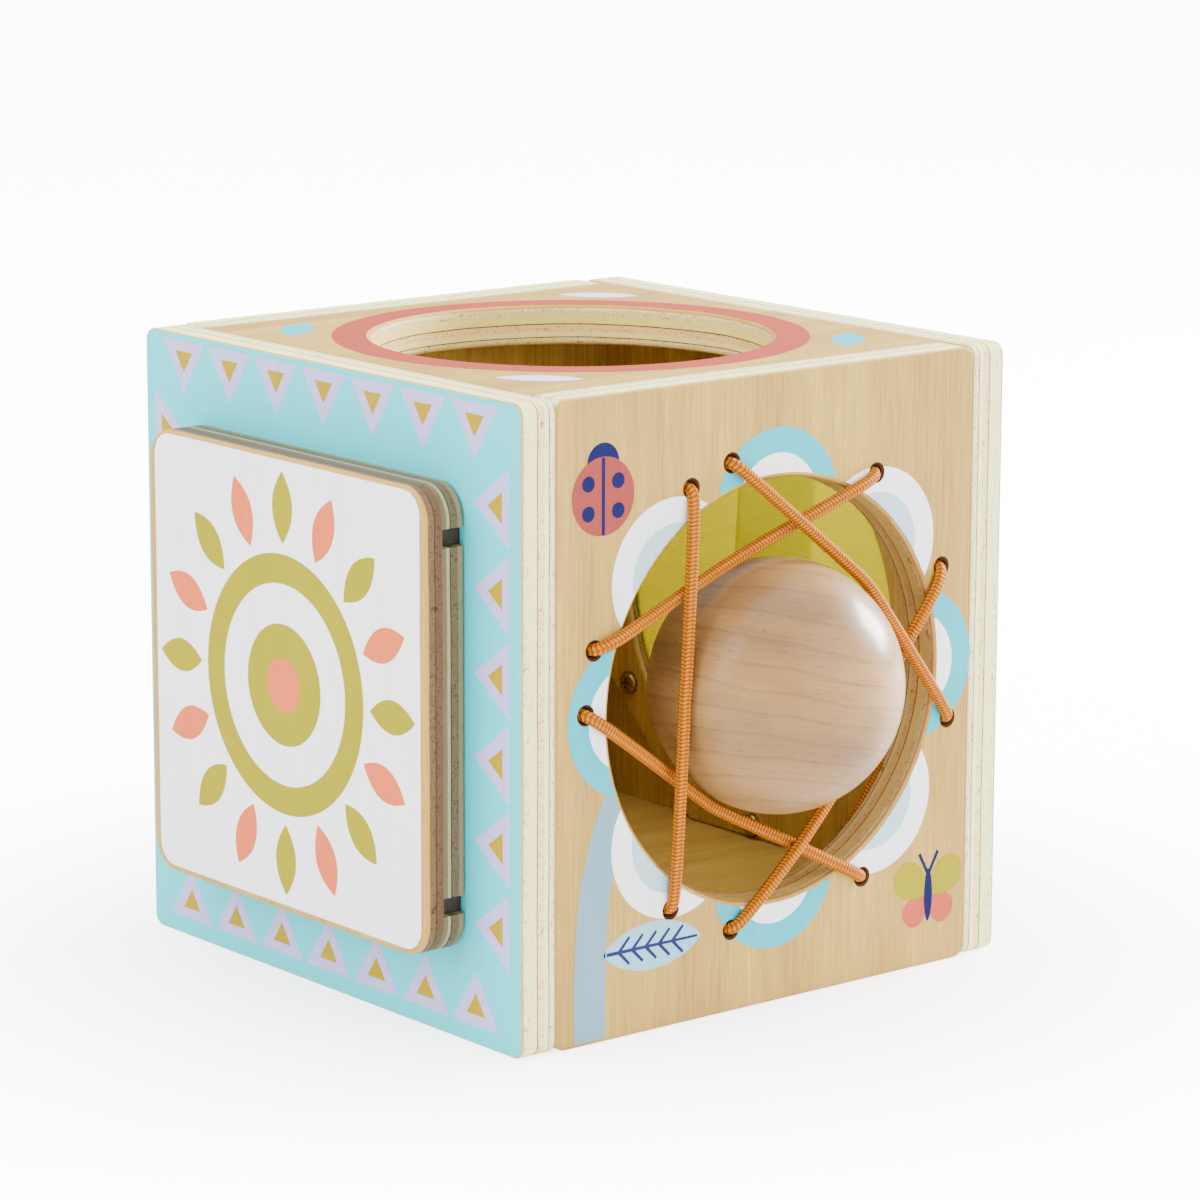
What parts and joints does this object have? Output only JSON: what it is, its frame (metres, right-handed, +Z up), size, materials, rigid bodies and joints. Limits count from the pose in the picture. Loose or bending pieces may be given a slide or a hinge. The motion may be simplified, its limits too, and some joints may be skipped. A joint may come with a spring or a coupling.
{
  "type": "activity cube",
  "caption": "Wooden activity cube with a laced ball, a sliding door, a fabric-covered hole and a posting hole on top.",
  "frame": {"origin": "middle of the cube's square footprint, on the surface that it stands on", "axes": "+X to the right along the laced front wall, +Y into the cube from that wall, +Z up"},
  "size_m": [0.1593, 0.177, 0.15],
  "materials": {
    "plywood": "satin",
    "dowel_wood": "satin",
    "ball_wood": "gloss",
    "elastic": "woven",
    "curtain_fabric": "ribbed",
    "screw_metal": "satin"
  },
  "bodies": {
    "cube": {"front_panel": "plywood", "back_panel": "plywood", "left_panel": "plywood", "right_panel": "plywood", "top_panel": "plywood", "bottom_panel": "plywood", "front_wall_dowels": "dowel_wood", "back_wall_dowels": "dowel_wood", "top_dowels": "dowel_wood", "bottom_dowels": "dowel_wood", "elastic_lacing": "elastic", "lacing_knot": "elastic", "outer_curtain_flap": "curtain_fabric", "inner_curtain_flap": "curtain_fabric", "curtain_frame": "plywood", "curtain_screws": "screw_metal"},
    "door": {"sun_door": "plywood", "lower_runner": "dowel_wood", "upper_runner": "dowel_wood", "lower_retainer": "dowel_wood", "upper_retainer": "dowel_wood", "retainer_screws": "screw_metal"},
    "ball": {"ball": "ball_wood"}
  },
  "joints": [
    {"name": "door_slide", "type": "slide", "parent": "cube", "child": "door", "axis": [0, 1, 0], "range_m": [0, 0.082]},
    {"name": "ball_pull", "type": "slide", "parent": "cube", "child": "ball", "axis": [0, -1, 0], "range_m": [-0.05, 0.06]}
  ]
}
